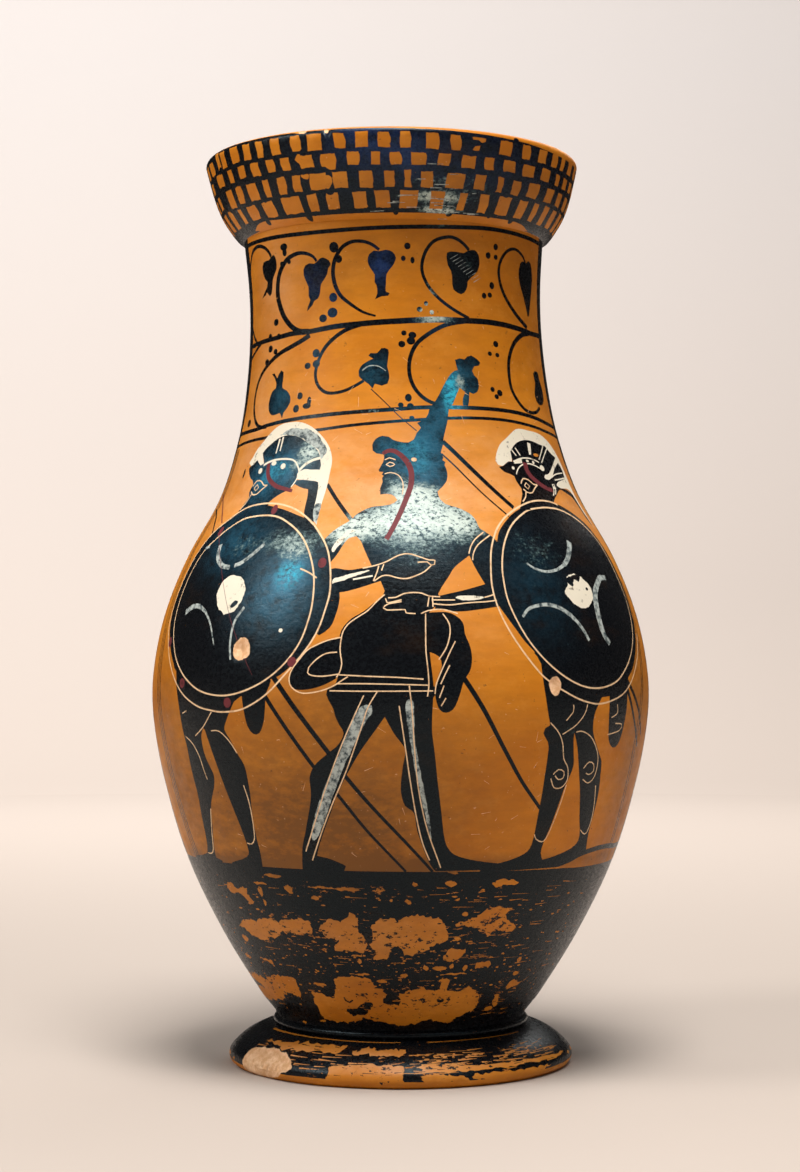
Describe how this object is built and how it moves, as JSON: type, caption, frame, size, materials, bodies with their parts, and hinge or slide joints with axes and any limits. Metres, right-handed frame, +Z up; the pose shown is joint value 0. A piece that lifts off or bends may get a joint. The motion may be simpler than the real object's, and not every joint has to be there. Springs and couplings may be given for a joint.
{
  "type": "black-figure wine jug",
  "caption": "Painted ceramic wine jug with a pear-shaped body, straight neck, flaring chequered mouth, low strap handle and disc foot.",
  "frame": {"origin": "centre of the bounding box's underside, where the foot rests", "axes": "+Z up the vessel; -Y is the painted front, +Y the handle side, +X the viewer's right when facing the front"},
  "size_m": [0.1548, 0.1548, 0.28],
  "materials": {
    "gloss": "semi-gloss black slip, worn at the foot",
    "painted_body": "orange clay panel with black-gloss figures, black elsewhere",
    "painted_neck": "orange clay with a black-gloss ivy band",
    "painted_mouth": "orange clay with a black-gloss chequer band",
    "joint_slip": "matt fired slip"
  },
  "bodies": {
    "root": {"foot": "gloss", "foot_joint_slip": "joint_slip", "foot_fillet": "gloss", "lower_body": "painted_body", "belly_joint_slip": "joint_slip", "upper_body": "painted_body", "neck_joint_slip": "joint_slip", "neck": "painted_neck", "mouth_joint_slip": "joint_slip", "mouth": "painted_mouth", "handle": "gloss"}
  },
  "joints": []
}
